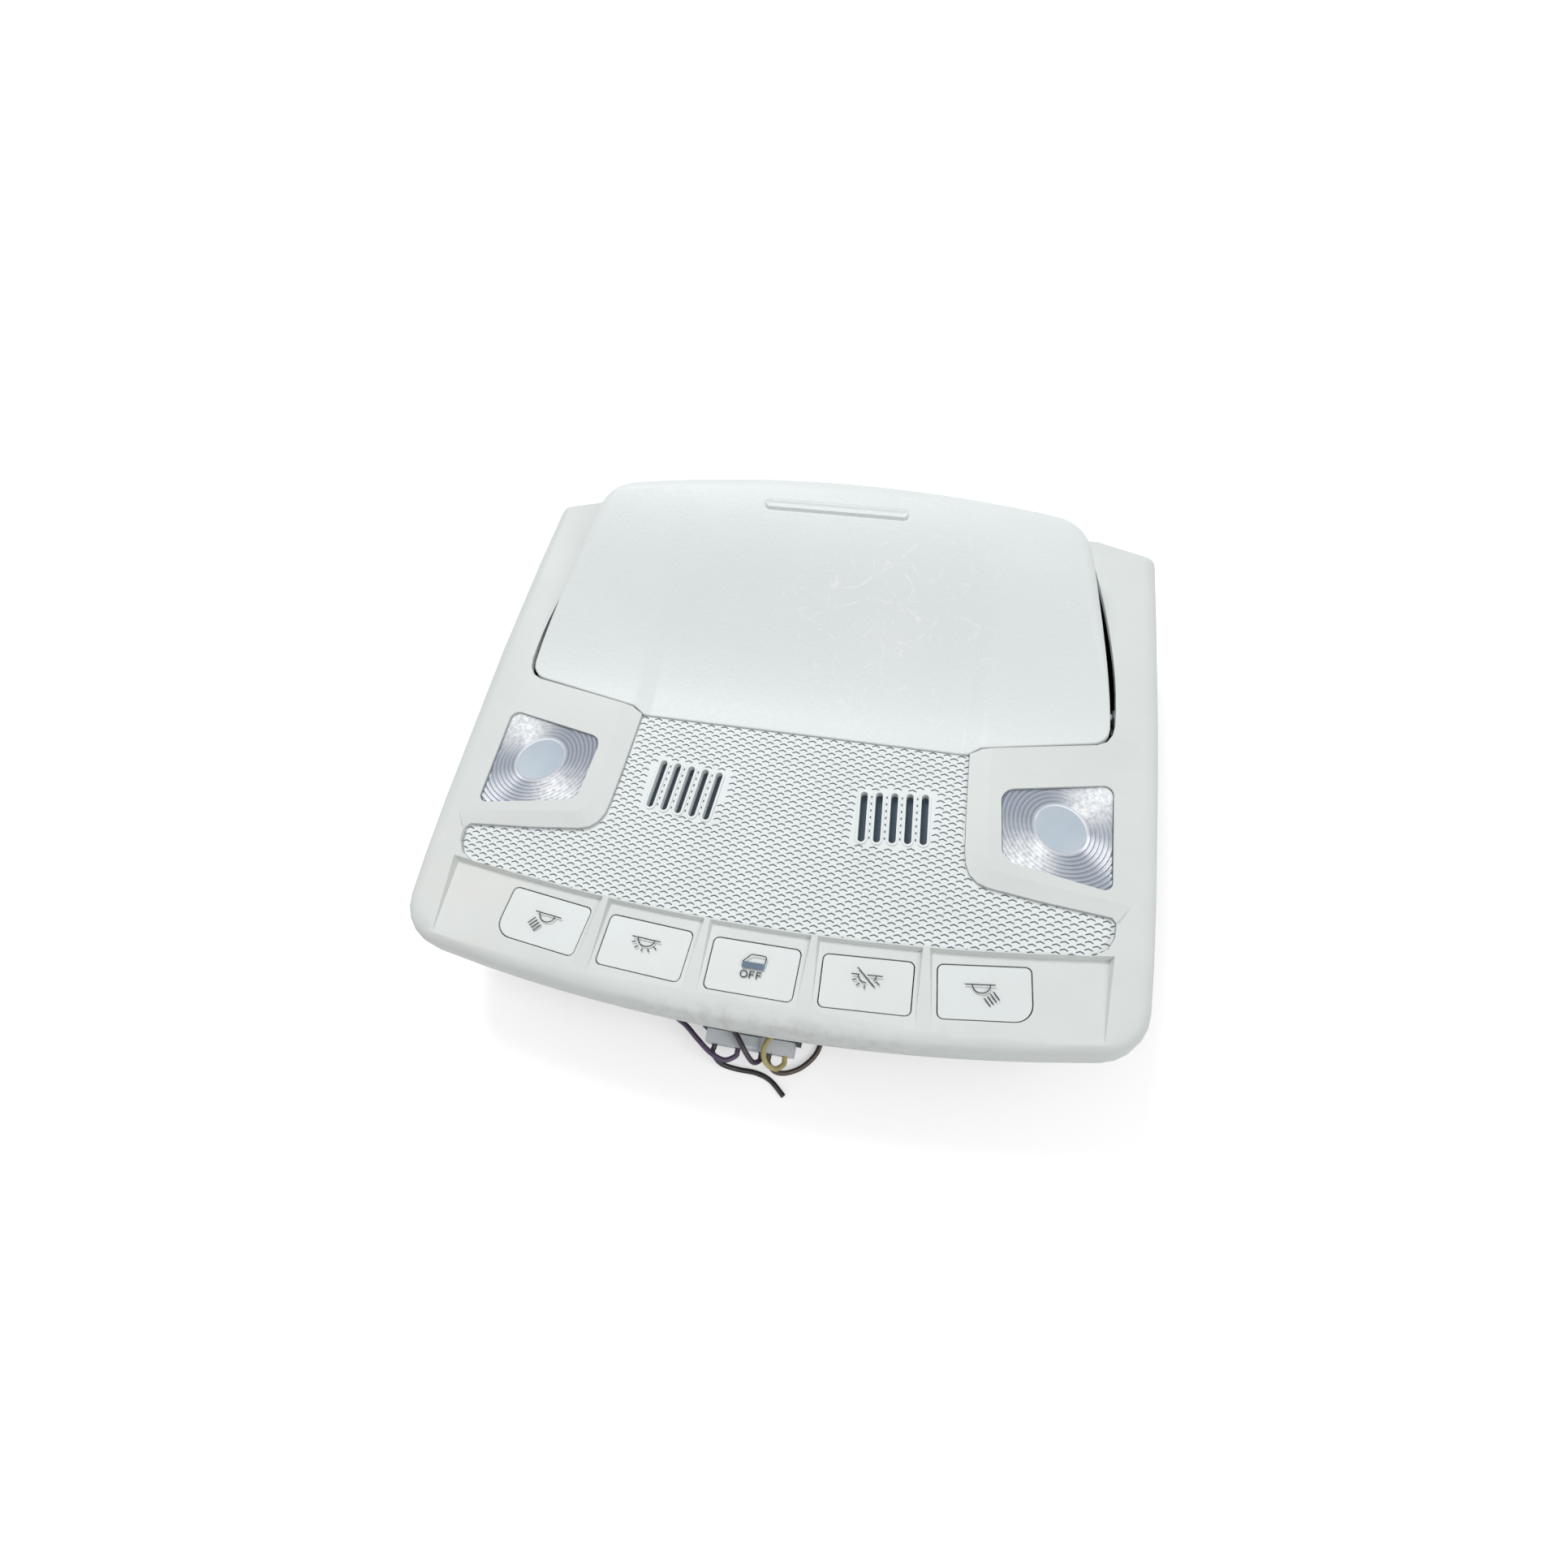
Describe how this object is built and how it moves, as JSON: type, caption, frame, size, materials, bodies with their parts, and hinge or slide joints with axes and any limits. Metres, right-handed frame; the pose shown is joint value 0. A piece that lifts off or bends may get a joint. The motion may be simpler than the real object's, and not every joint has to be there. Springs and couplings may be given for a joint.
{
  "type": "car overhead console dome and map lamp",
  "caption": "Overhead console for a car roof with dome and map lamps, push buttons, microphone grille and a swing-out sunglasses holder.",
  "frame": {"origin": "middle of the footprint, on the back plane that it lies on", "axes": "+X to the right across the unit, +Y from the buttons towards the holder's free edge, +Z out of the visible face"},
  "size_m": [0.2252, 0.1952, 0.0631],
  "materials": {
    "bezel_abs": "fine grained warm grey-white ABS",
    "grille_abs": "cool white ABS with a dimpled pattern",
    "door_abs": "leather grained cool white ABS",
    "button_abs": "satin white ABS with printed symbols",
    "lens_polycarbonate": "clear ribbed polycarbonate",
    "reflector_silver": "metallised plastic",
    "bulb_glass": "clear glass",
    "black_nylon": "black nylon",
    "silicone": "translucent silicone",
    "board_green": "solder resist",
    "header_nylon": "dark grey nylon",
    "steel_parts": "zinc plated",
    "spring_steel": "drawn spring wire",
    "black_rubber": "matt",
    "slot_cloth": "fine black acoustic cloth",
    "module_plastic": "charcoal moulded plastic",
    "black_housing": "black moulded plastic",
    "tub_plastic": "black moulded plastic",
    "liner_felt": "flocked felt",
    "white_acetal": "natural acetal",
    "plug_nylon": "natural white nylon",
    "wire_violet": "violet PVC insulation",
    "wire_black": "black PVC insulation",
    "wire_grey": "dark grey PVC insulation",
    "wire_yellow": "yellow PVC insulation",
    "wire_brown": "brown PVC insulation"
  },
  "bodies": {
    "root": {"bezel": "bezel_abs", "grille_panel": "grille_abs", "lens_left": "lens_polycarbonate", "lens_right": "lens_polycarbonate", "reflector_left": "reflector_silver", "reflector_right": "reflector_silver", "bulb_left": "bulb_glass", "bulb_right": "bulb_glass", "bulb_holder_left": "black_nylon", "bulb_holder_right": "black_nylon", "dome_map_left": "silicone", "dome_dome_on": "silicone", "dome_door_off": "silicone", "dome_lamps_off": "silicone", "dome_map_right": "silicone", "circuit_board": "board_green", "board_header": "header_nylon", "microphone_left": "steel_parts", "microphone_right": "steel_parts", "acoustic_boot_left": "black_rubber", "acoustic_boot_right": "black_rubber", "slot_cloth_left": "slot_cloth", "slot_cloth_right": "slot_cloth", "module_housing": "module_plastic", "module_screws": "steel_parts", "mounting_clips": "steel_parts", "bin_housing": "black_housing", "bin_screws": "steel_parts", "hinge_pin_left": "steel_parts", "hinge_pin_right": "steel_parts", "hinge_spring": "spring_steel", "damper_body": "black_nylon", "latch_body": "black_nylon", "harness_plug": "plug_nylon", "wire_violet": "wire_violet", "wire_black": "wire_black", "wire_grey": "wire_grey", "wire_yellow": "wire_yellow", "wire_brown": "wire_brown"},
    "door": {"door_panel": "door_abs", "bin_tub": "tub_plastic", "tub_screws": "steel_parts", "bin_liner": "liner_felt", "damper_rotor": "white_acetal", "latch_striker": "white_acetal"},
    "button_map_left_body": {"button_map_left": "button_abs"},
    "button_dome_on_body": {"button_dome_on": "button_abs"},
    "button_door_off_body": {"button_door_off": "button_abs"},
    "button_lamps_off_body": {"button_lamps_off": "button_abs"},
    "button_map_right_body": {"button_map_right": "button_abs"}
  },
  "joints": [
    {"name": "door_hinge", "type": "hinge", "parent": "root", "child": "door", "pos_m": [0, 0.02374, 0.039], "axis": [1, 0, 0], "range_deg": [0, 60]},
    {"name": "press_map_left", "type": "slide", "parent": "root", "child": "button_map_left_body", "axis": [0, 0, 1], "range_m": [-0.0012, 0], "stiffness_N_per_m": 500, "springref_m": 0.0006, "deforming": ["dome_map_left"]},
    {"name": "press_dome_on", "type": "slide", "parent": "root", "child": "button_dome_on_body", "axis": [0, 0, 1], "range_m": [-0.0012, 0], "stiffness_N_per_m": 500, "springref_m": 0.0006, "deforming": ["dome_dome_on"]},
    {"name": "press_door_off", "type": "slide", "parent": "root", "child": "button_door_off_body", "axis": [0, 0, 1], "range_m": [-0.0012, 0], "stiffness_N_per_m": 500, "springref_m": 0.0006, "deforming": ["dome_door_off"]},
    {"name": "press_lamps_off", "type": "slide", "parent": "root", "child": "button_lamps_off_body", "axis": [0, 0, 1], "range_m": [-0.0012, 0], "stiffness_N_per_m": 500, "springref_m": 0.0006, "deforming": ["dome_lamps_off"]},
    {"name": "press_map_right", "type": "slide", "parent": "root", "child": "button_map_right_body", "axis": [0, 0, 1], "range_m": [-0.0012, 0], "stiffness_N_per_m": 500, "springref_m": 0.0006, "deforming": ["dome_map_right"]}
  ]
}
